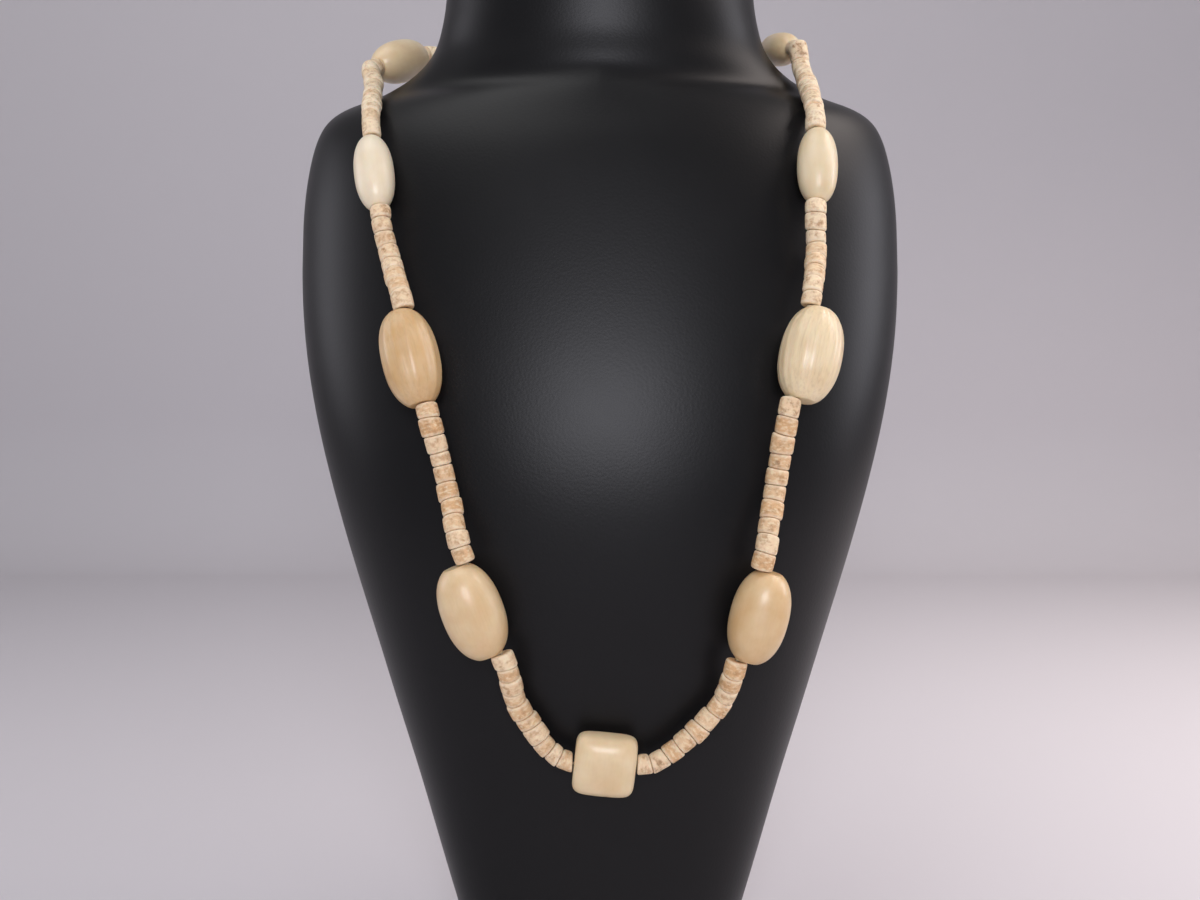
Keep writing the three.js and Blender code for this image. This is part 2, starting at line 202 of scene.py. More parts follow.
def paper_sweep():
    """A floor line, a quarter circle of radius SWEEP_BEND and a wall line, carried along x."""
    angle = np.radians(np.linspace(0, 90, SWEEP_ROWS))
    depth = SWEEP_BACK - SWEEP_BEND + SWEEP_BEND * np.sin(angle)
    height = SWEEP_BEND - SWEEP_BEND * np.cos(angle)
    depth = np.concatenate([[SWEEP_FRONT], depth, [SWEEP_BACK]])
    height = np.concatenate([[0], height, [SWEEP_TOP]])
    across = np.array([-SWEEP_HALF_WIDTH, SWEEP_HALF_WIDTH])
    grid = np.stack(np.broadcast_arrays(across, depth[:, None], height[:, None]), axis=-1)
    return grid[None].astype(float)


backdrop = surface_object("backdrop", paper_sweep(), matt_paper(), around=False)


# Studio light
# A soft box above the camera lights the front, and a weak one overhead the shoulders. Two strips,
# one at either side, draw the bust's edges, and a lamp on the right brightens the floor. The room
# itself gives a little even light.
LIGHTS = [
    {"name": "front_soft_box", "place": (0.03, -1.4, 0.73), "aim": (0, 0, 0.2),
     "wide": 0.65, "high": 0.6, "watts": 13, "colour": "#f6f6ff", "spread": 180},
    {"name": "right_strip", "place": (1.25, 0.15, 0.6), "aim": (0.05, 0, 0.3),
     "wide": 0.5, "high": 0.8, "watts": 1.35, "colour": "#f8f6ff", "spread": 90},
    {"name": "left_strip", "place": (-1.25, 0.15, 0.6), "aim": (-0.05, 0, 0.3),
     "wide": 0.5, "high": 0.8, "watts": 0.9, "colour": "#f8f6ff", "spread": 90},
    {"name": "overhead_soft_box", "place": (-0.35, -0.1, 1.5), "aim": (-0.1, 0.1, 0.2),
     "wide": 0.9, "high": 0.9, "watts": 4.5, "colour": "#ffffff", "spread": 180},
    {"name": "floor_lamp", "place": (0.7, 0.1, 0.9), "aim": (0.6, 0.1, 0),
     "wide": 0.5, "high": 0.5, "watts": 2.7, "colour": "#fff2ec", "spread": 110},
]
ROOM_COLOUR = "#eceaf0"
ROOM_STRENGTH = 0.22

for lamp in LIGHTS:
    light = bpy.data.lights.new(lamp["name"], "AREA")
    light.shape = "RECTANGLE"
    light.size, light.size_y = lamp["wide"], lamp["high"]
    light.energy = lamp["watts"]
    light.color = linear(lamp["colour"])[:3]
    light.spread = np.radians(lamp["spread"])
    held = bpy.data.objects.new(lamp["name"], light)
    held.location = lamp["place"]
    towards = Vector(lamp["aim"]) - Vector(lamp["place"])
    held.rotation_euler = towards.to_track_quat("-Z", "Y").to_euler()
    scene.collection.objects.link(held)

room = bpy.data.worlds.new("room")
room.use_nodes = True
glow = room.node_tree.nodes["Background"]
glow.inputs["Color"].default_value = linear(ROOM_COLOUR)
glow.inputs["Strength"].default_value = ROOM_STRENGTH
scene.world = room


# Display bust
# A padded neck bust wrapped in black satin leatherette, drawn tight over its form without a seam
# at the front. It stands on a flat foot, and its neck is cut off level above the necklace.
BUST_HEIGHT = 390
SHOULDER_WIDTH = 231
BUST_DEPTH = 131
# Level sections: height, width, front, widest line, back and squareness. Height is a share of
# BUST_HEIGHT, width of SHOULDER_WIDTH, and the three depths are shares of BUST_DEPTH.
BUST_SECTIONS = np.array([
    (0, 0.403, -0.275, 0.023, 0.275, 2.6),
    (0.051, 0.459, -0.29, 0.038, 0.275, 2.6),
    (0.115, 0.524, -0.305, 0.053, 0.275, 2.55),
    (0.185, 0.593, -0.321, 0.069, 0.275, 2.5),
    (0.251, 0.662, -0.344, 0.084, 0.279, 2.45),
    (0.321, 0.736, -0.366, 0.107, 0.286, 2.4),
    (0.39, 0.81, -0.382, 0.13, 0.305, 2.35),
    (0.459, 0.879, -0.382, 0.153, 0.328, 2.3),
    (0.528, 0.939, -0.355, 0.183, 0.359, 2.25),
    (0.6, 0.983, -0.302, 0.221, 0.389, 2.2),
    (0.669, 1, -0.237, 0.252, 0.427, 2.15),
    (0.731, 0.997, -0.172, 0.275, 0.466, 2.1),
    (0.774, 0.98, -0.122, 0.29, 0.496, 2),
    (0.8, 0.957, -0.084, 0.298, 0.515, 1.9),
    (0.818, 0.922, -0.057, 0.305, 0.531, 1.75),
    (0.831, 0.861, -0.038, 0.317, 0.542, 1.6),
    (0.841, 0.779, -0.023, 0.328, 0.55, 1.5),
    (0.853, 0.697, -0.008, 0.336, 0.561, 1.6),
    (0.867, 0.628, 0, 0.344, 0.573, 1.75),
    (0.887, 0.571, 0.011, 0.351, 0.588, 1.9),
    (0.913, 0.541, 0.015, 0.359, 0.603, 2),
    (0.949, 0.524, 0.019, 0.366, 0.618, 2),
    (0.99, 0.518, 0.019, 0.366, 0.618, 2),
    (1, 0.498, 0.038, 0.366, 0.599, 2),
])
BUST_ROWS = 230
BUST_COLUMNS = 320
CAP_ROWS = 12
# The flat ends' rings lie between these shares of the way from the middle to the edge
CAP_INNERMOST, CAP_OUTERMOST = 0.04, 0.97
FOOT_EDGE = 2.5
NECK_EDGE = 3
EASED_ROWS = 700
LEATHERETTE_COLOUR = "#09090a"
LEATHERETTE_WORN = "#101012"
LEATHER_PEBBLE = 0.9
LEATHER_RELIEF = 0.1
LEATHER_SHINE = 0.26
LEATHER_SMOOTHEST, LEATHER_ROUGHEST = 0.36, 0.44
RUBBED_PATCHES_PER_M = 14
# The neck's end turns from leatherette to card between these depths below BUST_HEIGHT
CARD_FROM, CARD_FULL = 1, 0.2


def sections_at(up, table=BUST_SECTIONS):
    """Half width, front, side line, back and squareness at shares of the height, each on a straight
    line between the two listed sections around it."""
    wide, chest, side, nape, square = (np.interp(up, table[:, 0], column) for column in table.T[1:])
    return wide * SHOULDER_WIDTH / 2, chest * BUST_DEPTH, side * BUST_DEPTH, nape * BUST_DEPTH, square


def bust_points(turn, up, table=BUST_SECTIONS):
    """Points of the bust's skin. Each section is two half superellipses that meet at the side line:
    x = half width * sin^(2/n) and y = side line - depth * cos^(2/n), each with its own sign, where
    turn is degrees from the front."""
    half_width, chest, side, nape, square = sections_at(up, table)
    sideways, forwards = np.sin(np.radians(turn)), np.cos(np.radians(turn))
    depth = np.where(forwards > 0, side - chest, nape - side)
    x = half_width * np.sign(sideways) * np.abs(sideways) ** (2 / square)
    y = side - depth * np.sign(forwards) * np.abs(forwards) ** (2 / square)
    return np.stack(np.broadcast_arrays(x, y, up * BUST_HEIGHT), axis=-1)


def lengths_along(points):
    """The distance run along a line of points from its first to each."""
    steps = np.linalg.norm(np.diff(points, axis=0), axis=1)
    return np.concatenate([[0], np.cumsum(steps)])


def eased_sections():
    """The listed sections drawn into one another as padding would: every column is a cubic B-spline
    over the row numbers. Its control values c give the listed ones, (c[i-1] + 4 c[i] + c[i+1]) / 6,
    with no bend at either end, so slope and bend both run on without a break. No width may pass the
    widest that is listed."""
    rows = len(BUST_SECTIONS)
    mixing = 4 * np.eye(rows) + np.eye(rows, k=1) + np.eye(rows, k=-1)
    mixing[0, :2] = mixing[-1, :-3:-1] = (6, 0)
    control = np.linalg.solve(mixing / 6, BUST_SECTIONS)
    control = np.vstack([2 * control[0] - control[1], control, 2 * control[-1] - control[-2]])
    at = np.linspace(0, rows - 1, EASED_ROWS)
    part = np.minimum(at.astype(int), rows - 2)
    t = (at - part)[:, None]
    weights = ((1 - t) ** 3, 3 * t ** 3 - 6 * t ** 2 + 4, -3 * t ** 3 + 3 * t ** 2 + 3 * t + 1, t ** 3)
    eased = sum(weight * control[part + ahead] for ahead, weight in enumerate(weights)) / 6
    eased[:, 1] = np.minimum(eased[:, 1], BUST_SECTIONS[:, 1].max())
    return eased


def bust_skin():
    """Rings at equal steps along the side's outline. At the foot and the neck the rings turn in
    round a small edge, inset = edge * (1 - sin a) at edge * (1 - cos a) from the end, and then draw
    together to the middle."""
    table = eased_sections()
    outline = np.stack([table[:, 1] * SHOULDER_WIDTH / 2, table[:, 0] * BUST_HEIGHT], axis=-1)
    run = lengths_along(outline)
    up = np.interp(np.linspace(0, run[-1], BUST_ROWS), run, table[:, 0])
    low, high = FOOT_EDGE / BUST_HEIGHT, 1 - NECK_EDGE / BUST_HEIGHT
    up = np.concatenate([[low], up[(up > low) & (up < high)], [high]])
    angle = np.radians(np.linspace(0, 90, CAP_ROWS, endpoint=False))
    share = np.linspace(CAP_INNERMOST, CAP_OUTERMOST, CAP_ROWS)
    flat, whole = np.zeros(CAP_ROWS), np.ones(CAP_ROWS + len(up) + CAP_ROWS)
    foot_up, neck_up = low * (1 - np.cos(angle)), high + (1 - high) * np.sin(angle)
    row_up = np.concatenate([flat, foot_up, up, neck_up, flat + 1])
    row_inset = np.concatenate([
        flat + FOOT_EDGE, FOOT_EDGE * (1 - np.sin(angle)), np.zeros(len(up)),
        NECK_EDGE * (1 - np.cos(angle)), flat + NECK_EDGE,
    ])
    row_share = np.concatenate([share, whole, share[::-1]])
    turn = np.arange(BUST_COLUMNS) * 360 / BUST_COLUMNS
    skin = bust_points(turn[None, :], row_up[:, None], table)
    axis = skin.copy()
    axis[..., 0] = 0
    axis[..., 1] = sections_at(row_up, table)[2][:, None]
    reach = np.linalg.norm(skin - axis, axis=-1, keepdims=True)
    kept = (1 - row_inset[:, None, None] / reach) * row_share[:, None, None]
    return (axis + (skin - axis) * kept)[None]


def satin_leatherette():
    """Black polyurethane leatherette: a pressed pebble under a satin topcoat. It gives one broad
    soft highlight with a hardly visible grain, a little greyer where the coat is rubbed. The flat
    end of the neck is closed with black card, which is fully matt."""
    material, tree = new_material("satin_leatherette")
    place = add_node(tree, "ShaderNodeTexCoord").outputs["Object"]
    pebble = add_node(tree, "ShaderNodeTexVoronoi", {
        "Vector": place, "Scale": 1000 / LEATHER_PEBBLE, "Randomness": 1,
    }, feature="SMOOTH_F1").outputs["Distance"]
    lightened = noise(tree, place, RUBBED_PATCHES_PER_M, 5, 0.6)
    height = add_node(tree, "ShaderNodeSeparateXYZ", {0: place}).outputs["Z"]
    card_from, card_full = (BUST_HEIGHT - CARD_FROM) / 1000, (BUST_HEIGHT - CARD_FULL) / 1000
    card = ranged(tree, height, from_min=card_from, from_max=card_full)
    gloss = ranged(tree, lightened, to_min=LEATHER_SMOOTHEST, to_max=LEATHER_ROUGHEST)
    shade(tree, {
        "Base Color": blended(tree, lightened, linear(LEATHERETTE_COLOUR), linear(LEATHERETTE_WORN)),
        "Roughness": add_node(tree, "ShaderNodeMix", {0: card, 2: gloss, 3: 1.0}).outputs[0],
        "IOR": 1.5,
        "Specular IOR Level": ranged(tree, card, to_min=LEATHER_SHINE, to_max=0),
        "Normal": relief(tree, pebble, 0.22, LEATHER_RELIEF),
    })
    return material


bust = surface_object("display_bust", bust_skin(), satin_leatherette(), capped=True)
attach(bust, "root")
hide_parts("neck_bust")


# Oval beads
# Eight long barrels turned from ox bone, with blunt ends and a hole drilled through, often off the
# middle. They are polished to a soft shine. The slim third pair is bleached nearly white.
SEAT_GAP = 0.3
DISC_WIDTH = 7.8
BORE_RADIUS = 0.95
OVAL_ROWS = 54
OVAL_COLUMNS = 72
END_ROWS = 6
OVAL_SHAPE = {"reach": 0.935, "along": 2.3, "out": 2.2}
# The turned body's share of the width that a bead is seated by
OVAL_TRUE = 0.982
HOLE_RIM = 0.5
END_DISH = 0.16
FLUTE_DEPTH = 0.013
BONE_GRAIN_WIDTH = 0.8
BONE_GRAIN_LENGTH = 15
BONE_CLOUDS_PER_MM = 0.11
BONE_CLOUDING = 0.18
BONE_RELIEF = 0.1
# How strongly the grain shows: on a bead with flutes, on any other, and as a share of the deep colour
FLUTED_STREAKS = 1.0
POLISHED_STREAKS = 0.3
STREAK_STRENGTH = 0.27
# How far apart two beads lie in the bone that they are cut from: along it, out and across
GRAIN_APART = (57, 31, -17)
# Half the skin that a bead bridges as it lies: degrees round the bust and a share of its height
BRIDGED_TURN, BRIDGED_UP = 1.7, 0.0077
# Where each bead lies: turn in degrees from the front round its own side, up as a share of
# BUST_HEIGHT, the lean of its hole to the back and the rise of its upper end. air is the space under
# it beyond SEAT_GAP as a share of DISC_WIDTH, and aside how far its body lies outside the hole, as a
# share of its width. tone is its colour from pale, 0, to tan, 1, and flutes the number of faint long
# flats that the turning left.
OVAL_BEADS = [
    {"name": "right_oval_1", "turn": 26.6, "up": 0.369, "slant": 12.5, "aside": 0.19,
     "length": 30.56, "width": 19.86, "tone": 0.66, "flutes": 0},
    {"name": "right_oval_2", "turn": 31.9, "up": 0.5833, "slant": 17.8, "aside": 0.185,
     "length": 32.15, "width": 21.4, "tone": 0.12, "flutes": 18},
    {"name": "right_oval_3", "turn": 39.2, "up": 0.7486, "slant": 12.1, "aside": 0.05,
     "length": 28.42, "width": 14.5, "tone": 0.6, "flutes": 0},
    {"name": "right_oval_4", "turn": 100, "up": 0.892, "slant": 82, "rise": 12, "air": 0.35,
     "length": 27.9, "width": 13.26, "tone": 0.3, "flutes": 0},
    {"name": "left_oval_1", "turn": 19.3, "up": 0.3771, "slant": 20.1, "aside": 0.19,
     "length": 31.36, "width": 20.8, "tone": 0.5, "flutes": 0},
    {"name": "left_oval_2", "turn": 29.1, "up": 0.5792, "slant": 19.2, "aside": 0.084,
     "length": 32.83, "width": 19.9, "tone": 0.8, "flutes": 14},
    {"name": "left_oval_3", "turn": 40.9, "up": 0.7427, "slant": 18.8, "aside": 0.05,
     "length": 29.01, "width": 14.36, "tone": 0.1, "flutes": 0},
    {"name": "left_oval_4", "turn": 103, "up": 0.8654, "slant": 80, "rise": 19, "air": 0.846,
     "length": 31, "width": 17, "tone": 0.2, "flutes": 0},
]


def unit(vector):
    """The vector over its own length."""
    return vector / np.linalg.norm(vector)


def turned_about(vector, axis, degrees):
    """A vector turned about a unit axis: v cos a + (axis x v) sin a + axis (axis . v)(1 - cos a)."""
    cosine, sine = np.cos(np.radians(degrees)), np.sin(np.radians(degrees))
    return vector * cosine + np.cross(axis, vector) * sine + axis * np.dot(axis, vector) * (1 - cosine)


def seat(sign, width, turn, up, slant=0, rise=0, air=0, aside=0, length=0):
    """The place of a bead on one side of the bust: its middle lies half its width and the air off
    the skin, and its way is straight up the skin, leant by slant about the outward line."""
    turn *= sign
    around = bust_points(turn + BRIDGED_TURN, up) - bust_points(turn - BRIDGED_TURN, up)
    upwards = bust_points(turn, min(1, up + BRIDGED_UP)) - bust_points(turn, up - BRIDGED_UP)
    out = unit(np.cross(around, upwards))
    middle = bust_points(turn, up) + out * (width / 2 + SEAT_GAP + air * DISC_WIDTH)
    way = unit(np.array([0, 0, 1]) - out * out[2])
    way = turned_about(way, out, -sign * slant)
    across = np.cross(way, out)
    way, out = turned_about(way, across, rise), turned_about(out, across, rise)
    return {
        "middle": middle, "way": way, "out": out, "across": across,
        "start": middle - way * length / 2, "end": middle + way * length / 2,
        "aside": across * sign * aside * width,
    }


def oval_profile(length, width):
    """Half lengths and radii of a blunt barrel, from its lower hole over the outside to its upper
    one: radius = OVAL_TRUE * half width * (1 - (reach t)^along)^(1/out) for t from -1 to 1. Each end
    then runs almost flat to the hole, END_DISH out at its middle and HOLE_RIM in at the rim. weight
    is 1 where a ring is centred on the body and 0 on the hole."""
    t = np.sin(np.linspace(-np.pi / 2, np.pi / 2, OVAL_ROWS))
    swell = 1 - np.abs(OVAL_SHAPE["reach"] * t) ** OVAL_SHAPE["along"]
    radius = OVAL_TRUE * width / 2 * swell ** (1 / OVAL_SHAPE["out"])
    share = np.linspace(0, 1, END_ROWS + 1)[:-1]
    end_radius = BORE_RADIUS + (radius[0] - BORE_RADIUS) * share
    end_along = -length / 2 - END_DISH * np.sin(share * np.pi) + HOLE_RIM * (share == 0)
    along = np.concatenate([end_along, t * length / 2, -end_along[::-1]])
    radius = np.concatenate([end_radius, radius, end_radius[::-1]])
    weight = np.concatenate([share, np.ones(OVAL_ROWS), share[::-1]])
    return along, radius, weight


def oval_bead(bead, order):
    """The profile turned about the bead's way: point = middle + way * along + aside * weight +
    (out cos a + across sin a) * radius, with the radius a little less between two flutes."""
    sign = -1 if bead["name"].startswith("left") else 1
    seating = ("turn", "up", "slant", "rise", "air", "aside", "length")
    place = seat(sign, bead["width"], **{key: bead[key] for key in seating if key in bead})
    along, radius, weight = (column[:, None] for column in oval_profile(bead["length"], bead["width"]))
    angle = 2 * np.pi * np.arange(OVAL_COLUMNS) / OVAL_COLUMNS
    radius = radius * (1 - FLUTE_DEPTH * (1 - np.cos(bead["flutes"] * angle)) * (weight == 1))
    cosine, sine = radius * np.cos(angle), radius * np.sin(angle)
    points = (
        place["middle"] + along[..., None] * place["way"] + weight[..., None] * place["aside"]
        + cosine[..., None] * place["out"] + sine[..., None] * place["across"]
    )
    grain = np.stack(np.broadcast_arrays(along, cosine, sine), axis=-1) + order * np.array(GRAIN_APART)
    tone = np.full(cosine.shape, bead["tone"])
    streaky = np.full(cosine.shape, FLUTED_STREAKS if bead["flutes"] else POLISHED_STREAKS)
    attributes = {"grain_place": grain[None], "tone": tone[None], "streaky": streaky[None]}
    return place, points[None], attributes


def polished_bone(name, pale, tan, deep, roughness):
    """Turned ox bone, polished with wax: long faint streaks run the way of the bone, over clouds of
    paler and browner bone. Light sinks a little into it, so its shadows stay warm. roughness is what
    the polish leaves."""
    material, tree = new_material(name)
    grain = attribute(tree, "grain_place", "Vector")
    tone = attribute(tree, "tone")
    streaky = attribute(tree, "streaky")
    drawn = add_node(tree, "ShaderNodeMapping", {
        "Vector": grain, "Scale": (1 / BONE_GRAIN_LENGTH, 1 / BONE_GRAIN_WIDTH, 1 / BONE_GRAIN_WIDTH),
    }).outputs["Vector"]
    streak = noise(tree, drawn, 1, 4, 0.6)
    cloud = noise(tree, grain, BONE_CLOUDS_PER_MM, 3)
    cloud = ranged(tree, cloud, from_min=0.3, from_max=0.7, to_min=-BONE_CLOUDING, to_max=BONE_CLOUDING)
    body = blended(tree, reckoned(tree, "ADD", tone, cloud), linear(pale), linear(tan))
    strength = reckoned(tree, "MULTIPLY", streaky, STREAK_STRENGTH)
    streaked = ranged(tree, streak, from_min=0.46, from_max=0.78, to_max=strength)
    shade(tree, {
        "Base Color": blended(tree, streaked, body, linear(deep)),
        "Roughness": ranged(tree, streak, to_min=roughness - 0.06, to_max=roughness + 0.1),
        "IOR": 1.54,
        "Subsurface Weight": 0.35,
        "Subsurface Radius": (1, 0.55, 0.3),
        "Subsurface Scale": 0.002,
        "Coat Weight": 0.3,
        "Coat Roughness": 0.2,
        "Normal": relief(tree, streak, 0.08, BONE_RELIEF),
    })
    return material


waxed_bone = polished_bone(
    "waxed_bone", pale="#f0dcb5", tan="#d2a972", deep="#a67c4d", roughness=0.4)
bleached_bone = polished_bone(
    "bleached_bone", pale="#f2e4c8", tan="#e0c99c", deep="#c3ab82", roughness=0.42)
oval_places = {}
for order, bead in enumerate(OVAL_BEADS):
    bleached = bead["name"].endswith("3")
    bone = bleached_bone if bleached else waxed_bone
    oval_places[bead["name"]], points, attributes = oval_bead(bead, order)
    oval = surface_object(f"{bead['name']}_turned", points, bone, attributes, looped=True)
    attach(oval, "root")
    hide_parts(bead["name"])


# Squared middle bead
# A cushion of the same bone, filed square with soft corners and a slightly domed face. Its hole is
# drilled a little askew, so it hangs at a tilt to the string.
SQUARE_LENGTH = 20.6
SQUARE_HEIGHT = 21.4
SQUARE_DEPTH = 14
SQUARE_TILT = 4
SQUARE_ROWS = 60
SQUARE_COLUMNS = 96
SQUARE_ROUND = 2.6
SQUARE_HIGH = {"reach": 0.985, "along": 7, "out": 0.15}
SQUARE_DEEP = {"reach": 0.9406, "along": 2.6, "out": 0.417}
SQUARE_TONE = 0.3
SQUARE_STREAKS = 0.2
# Where it lies in the bone that it is cut from, clear of the oval beads
SQUARE_GRAIN_AT = 211
# Its place, in the terms of OVAL_BEADS
SQUARE_SEAT = {"turn": 0.5, "up": 0.2376, "slant": 92, "length": SQUARE_LENGTH}


def squared_bead(place):
    """Superellipse rings along the bead, of exponent SQUARE_ROUND. Half height and half depth shrink
    to the ends as (1 - (reach t)^along)^out, each in its own way. Each end then runs flat to the
    hole, whose rim lies HOLE_RIM in."""
    body_way = turned_about(place["way"], place["out"], -SQUARE_TILT)
    body_across = turned_about(place["across"], place["out"], -SQUARE_TILT)
    t = np.sin(np.linspace(-np.pi / 2, np.pi / 2, SQUARE_ROWS))
    high, deep = ((1 - np.abs(shape["reach"] * t[:, None]) ** shape["along"]) ** shape["out"]
                  for shape in (SQUARE_HIGH, SQUARE_DEEP))
    angle = 2 * np.pi * np.arange(SQUARE_COLUMNS) / SQUARE_COLUMNS
    cosine = np.sign(np.cos(angle)) * np.abs(np.cos(angle)) ** (2 / SQUARE_ROUND) * deep
    sine = np.sign(np.sin(angle)) * np.abs(np.sin(angle)) ** (2 / SQUARE_ROUND) * high
    outer = (
        place["middle"] + t[:, None, None] * SQUARE_LENGTH / 2 * body_way
        + cosine[..., None] * SQUARE_DEPTH / 2 * place["out"]
        + sine[..., None] * SQUARE_HEIGHT / 2 * body_across
    )
    rim = np.cos(angle)[:, None] * place["out"] + np.sin(angle)[:, None] * place["across"]
    share = np.linspace(0, 1, END_ROWS + 1)[:-1, None, None]
    inwards = HOLE_RIM * place["way"] * (share == 0)
    low = (place["start"] + inwards + BORE_RADIUS * rim) * (1 - share) + outer[0] * share
    top = (place["end"] - inwards + BORE_RADIUS * rim) * (1 - share) + outer[-1] * share
    points = np.concatenate([low, outer, top[::-1]])
    offset = points - place["middle"]
    grain = np.stack([offset @ body_across, offset @ place["out"], offset @ body_way], axis=-1)
    grain += SQUARE_GRAIN_AT
    tone = np.full(points.shape[:2], SQUARE_TONE)
    streaky = np.full(points.shape[:2], SQUARE_STREAKS)
    return points[None], {"grain_place": grain[None], "tone": tone[None], "streaky": streaky[None]}


centre_place = seat(1, SQUARE_DEPTH, **SQUARE_SEAT)
points, attributes = squared_bead(centre_place)
centre_bead = surface_object("centre_bead_filed", points, waxed_bone, attributes, looped=True)
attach(centre_bead, "root")
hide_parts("centre_bead")


# Disc runs
# Short lengths sawn off a bone rod and drilled by hand, strung tight in ten runs. No two are quite
# alike: their faces are a little askew, their edges are only just eased and they aren't polished.
DISC_LENGTH = 5.4
# By how much discs differ at the most: the shares of length and width, and the shift off the string
DISC_LENGTH_SPREAD = 0.16
DISC_WIDTH_SPREAD = 0.08
DISC_SHIFT = 0.4
# Air between a bead and a run, and between two discs, whose faces are up to FACE_SKEW degrees askew
BEAD_GAP = 0.5
FACE_GAP = 0.12
FACE_SKEW = 5
# A disc's true share of the width that its run is seated by, and the shares of it that two-sided and
# three-sided lumps take off on the whole
DISC_TRUE = 0.94
DISC_OVALNESS = 0.024
DISC_CORNERS = 0.014
DISC_EDGE = 0.75
DISC_COLUMNS = 40
CURVE_STEPS = 400
# Half a disc's profile from its hole to the middle of its side, apart from its edge: the way along
# from the face, the radius as a fixed length and a share of the rim's, and its painted highlight
DISC_FACE = [
    (0.3, BORE_RADIUS, 0, 0),
    (0, BORE_RADIUS + 0.09, 0, 0),
    (0, (BORE_RADIUS + 0.27 - DISC_EDGE) / 2, 0.5, 0),
]
# The painted highlight on the eased edge, by degrees from the face: the edge is painted paler where it
# catches the light
DISC_EDGE_HIGHLIGHT = {0: 0.3, 25: 1, 50: 1, 72: 0.8, 90: 0.4}
DISC_SIDE = (1.4, 0.06, 1, 0)
# Tone from pale, 0, to tan, 1, how much it differs, and how much paler the discs get above PALER_FROM,
# in full PALER_OVER further up
DISC_TONE = 0.68
DISC_TONE_SPREAD = 0.32
PALER_BY = 0.5
PALER_FROM = 235
PALER_OVER = 60
DISC_GRAIN_APART = 40
# The number under which each irregularity is drawn
DRAWS = {"length": 1, "width": 2, "shift": 4, "skew": np.array([[5], [6]]), "tone": 7, "stain": 8}
# The last colour is a painted highlight that makes the discs' eased edges paler
SAWN_COLOURS = {
    "pale": "#f8e4c2", "tan": "#dbaf7d", "mottle": "#b08152",
    "band": "#f7e5c0", "stain": "#8a6442", "lightened": "#f8e8cc",
}
MOTTLES_PER_MM = 0.45
MOTTLE_RELIEF = 0.25
BANDS_PER_MM = (1.1, 0.55, 0.55)
# How strongly the painted highlight on the discs' eased edges shows
EDGE_HIGHLIGHT_STRENGTH = 0.5
CLASP_LENGTH = 14
CLASP_WIDTH = 6
# The clasp's place, in the terms of OVAL_BEADS
CLASP_SEAT = {"turn": 180, "up": 0.911, "slant": 90, "length": CLASP_LENGTH, "air": 0.115}
FIRST_LEFT_DISC = 100
# The runs of each side from the middle bead up: how thick their discs are and how far they set out
# straight on, both as shares of DISC_LENGTH, and the turn, up and air of the points that they pass
RUNS = {
    "right": [
        (1, 0.6, [(17.5, 0.259, 0.333), (24.8, 0.2933, 0.308)]),
        (1.04, 1, [(30, 0.4741, 0.295)]),
        (0.96, 1, [(37.4, 0.6741, 0.231)]),
        (1, 1, [(52.7, 0.8277, 0.038), (74.9, 0.8583, 0.295)]),
        (1, 1, [(138, 0.905, 0.795)]),
    ],
    "left": [
        (0.9, 0.35, [(9, 0.2514, 0.346), (14.7, 0.2884, 0.308)]),
        (1, 1, [(25.1, 0.4755, 0.295)]),
        (1, 1, [(35.9, 0.6686, 0.231)]),
        (1, 1, [(55.2, 0.8212, 0.038), (70, 0.8385, 0.167)]),
        (1, 1, [(138, 0.905, 0.923)]),
    ],
}


def unevenness(disc, use):
    """A number from -1 to 1 for each disc and use: the fraction left by a large multiple of a sine."""
    tumbled = np.sin(disc * 12.9898 + use * 78.233) * 43758.5453
    return 2 * (tumbled - np.floor(tumbled)) - 1


def string_curve(through):
    """Points of a centripetal Catmull-Rom curve: between two chosen points it is the cubic whose end
    slopes weigh the chords on either side by the square roots of their lengths."""
    ends = np.vstack([2 * through[0] - through[1], through, 2 * through[-1] - through[-2]])
    at = np.linspace(0, len(through) - 1, CURVE_STEPS)
    part = np.minimum(at.astype(int), len(through) - 2)
    t = (at - part)[:, None]
    p0, p1, p2, p3 = (ends[part + ahead] for ahead in range(4))
    d0, d1, d2 = (np.sqrt(np.linalg.norm(b - a, axis=1, keepdims=True))
                  for a, b in ((p0, p1), (p1, p2), (p2, p3)))
    leave = ((p1 - p0) / d0 - (p2 - p0) / (d0 + d1) + (p2 - p1) / d1) * d1
    enter = ((p2 - p1) / d1 - (p3 - p1) / (d1 + d2) + (p3 - p2) / d2) * d1
    return (
        p1 + leave * t + (3 * p2 - 3 * p1 - 2 * leave - enter) * t ** 2
        + (2 * p1 - 2 * p2 + leave + enter) * t ** 3
    )


def disc_joints(start, end, thick, straight, passed, sign, first):
    """Where neighbouring discs meet on the string between two beads: the curve through the passed
    points is cut into as many discs as fit, whose lengths differ a little."""
    leave = start["end"] + start["way"] * BEAD_GAP
    enter = end["start"] - end["way"] * BEAD_GAP
    chosen = [seat(sign, DISC_WIDTH, turn, up, air=air)["middle"] for turn, up, air in passed]
    curve = string_curve(np.array([
        leave, leave + start["way"] * DISC_LENGTH * straight, *chosen,
        enter - end["way"] * DISC_LENGTH, enter,
    ]))
    run = lengths_along(curve)
    count = max(1, round(run[-1] / (DISC_LENGTH * thick)))
    lengths = 1 + DISC_LENGTH_SPREAD * unevenness(first + np.arange(count), DRAWS["length"])
    reached = np.concatenate([[0], np.cumsum(lengths)]) / lengths.sum() * run[-1]
    return np.stack([np.interp(reached, run, column) for column in curve.T], axis=-1)


def frames_along(joints):
    """Middle, way, outward line and cross line of the stretch between each two joints. The outward
    line points from the bust's own middle line and is square to the way."""
    middle = (joints[:-1] + joints[1:]) / 2
    way = np.diff(joints, axis=0)
    way /= np.linalg.norm(way, axis=1, keepdims=True)
    away = middle.copy()
    away[:, 1] -= sections_at(middle[:, 2] / BUST_HEIGHT)[2]
    away[:, 2] = 0
    out = away - way * np.sum(away * way, axis=1, keepdims=True)
    out /= np.linalg.norm(out, axis=1, keepdims=True)
    return middle, way, out, np.cross(way, out)


